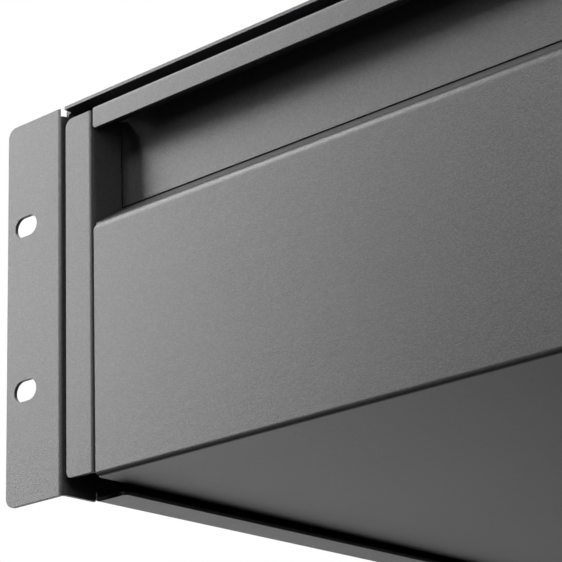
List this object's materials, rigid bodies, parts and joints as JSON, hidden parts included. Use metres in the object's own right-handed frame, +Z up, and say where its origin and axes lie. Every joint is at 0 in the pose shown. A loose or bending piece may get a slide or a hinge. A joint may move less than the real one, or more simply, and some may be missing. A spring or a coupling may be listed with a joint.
{
  "type": "sliding rack drawer",
  "caption": "Rack-mount drawer in folded sheet steel: ear-mounted case and a full-extension drawer on ball-bearing slides, with a finger pocket across its front.",
  "frame": {"origin": "middle of the four ear slots, on the rear face of the ears, which lies against the rack rails", "axes": "+Z up, -Y out of the front, the way the drawer opens, +X to the right as seen from the front"},
  "size_m": [0.4826, 0.38, 0.1326],
  "materials": {
    "case_coat": "dark grey powder coat, fine even texture, satin",
    "drawer_coat": "dark grey powder coat, fine even texture, satin",
    "slide_zinc": "bright zinc plate on roll-formed steel, lightly greased",
    "cage_steel": "zinc-plated thin strip",
    "ball_steel": "polished hardened steel",
    "bumper_plastic": "black moulded nylon",
    "lever_plastic": "black moulded acetal, slight sheen",
    "screw_steel": "zinc-plated steel"
  },
  "bodies": {
    "case": {"case_shell": "case_coat", "rear_panel": "case_coat", "rear_panel_screws": "screw_steel", "left_slide_outer_member": "slide_zinc", "left_outer_bumper": "bumper_plastic", "left_case_screws": "screw_steel", "right_slide_outer_member": "slide_zinc", "right_outer_bumper": "bumper_plastic", "right_case_screws": "screw_steel"},
    "drawer": {"drawer_pan": "drawer_coat", "drawer_left_side": "drawer_coat", "drawer_right_side": "drawer_coat", "drawer_back": "drawer_coat", "pull_channel": "drawer_coat", "left_slide_inner_member": "slide_zinc", "left_drawer_screws": "screw_steel", "left_lever_rivet": "screw_steel", "right_slide_inner_member": "slide_zinc", "right_drawer_screws": "screw_steel", "right_lever_rivet": "screw_steel"},
    "left_middle": {"left_slide_middle_member": "slide_zinc", "left_middle_bumper": "bumper_plastic"},
    "left_outer_cage": {"left_outer_ball_cage": "cage_steel", "left_outer_balls": "ball_steel"},
    "left_inner_cage": {"left_inner_ball_cage": "cage_steel", "left_inner_balls": "ball_steel"},
    "left_lever": {"left_release_lever": "lever_plastic"},
    "right_middle": {"right_slide_middle_member": "slide_zinc", "right_middle_bumper": "bumper_plastic"},
    "right_outer_cage": {"right_outer_ball_cage": "cage_steel", "right_outer_balls": "ball_steel"},
    "right_inner_cage": {"right_inner_ball_cage": "cage_steel", "right_inner_balls": "ball_steel"},
    "right_lever": {"right_release_lever": "lever_plastic"}
  },
  "joints": [
    {"name": "drawer_slide", "type": "slide", "parent": "case", "child": "drawer", "axis": [0, -1, 0], "range_m": [0, 0.35]},
    {"name": "left_middle_slide", "type": "slide", "parent": "case", "child": "left_middle", "axis": [0, -1, 0], "range_m": [0, 0.175]},
    {"name": "left_outer_cage_slide", "type": "slide", "parent": "case", "child": "left_outer_cage", "axis": [0, -1, 0], "range_m": [0, 0.0875]},
    {"name": "left_inner_cage_slide", "type": "slide", "parent": "left_middle", "child": "left_inner_cage", "axis": [0, -1, 0], "range_m": [0, 0.0875]},
    {"name": "left_lever_pivot", "type": "hinge", "parent": "drawer", "child": "left_lever", "pos_m": [-0.2039, 0.1698, 0], "axis": [-1, 0, 0], "range_deg": [0, 8], "stiffness_Nm_per_rad": 0.08},
    {"name": "right_middle_slide", "type": "slide", "parent": "case", "child": "right_middle", "axis": [0, -1, 0], "range_m": [0, 0.175]},
    {"name": "right_outer_cage_slide", "type": "slide", "parent": "case", "child": "right_outer_cage", "axis": [0, -1, 0], "range_m": [0, 0.0875]},
    {"name": "right_inner_cage_slide", "type": "slide", "parent": "right_middle", "child": "right_inner_cage", "axis": [0, -1, 0], "range_m": [0, 0.0875]},
    {"name": "right_lever_pivot", "type": "hinge", "parent": "drawer", "child": "right_lever", "pos_m": [0.2039, 0.1698, 0], "axis": [1, 0, 0], "range_deg": [0, 8], "stiffness_Nm_per_rad": 0.08}
  ],
  "couplings": [
    {"joint": "left_middle_slide", "follows": "drawer_slide", "ratio": 0.5},
    {"joint": "left_outer_cage_slide", "follows": "drawer_slide", "ratio": 0.25},
    {"joint": "left_inner_cage_slide", "follows": "drawer_slide", "ratio": 0.25},
    {"joint": "right_middle_slide", "follows": "drawer_slide", "ratio": 0.5},
    {"joint": "right_outer_cage_slide", "follows": "drawer_slide", "ratio": 0.25},
    {"joint": "right_inner_cage_slide", "follows": "drawer_slide", "ratio": 0.25}
  ]
}
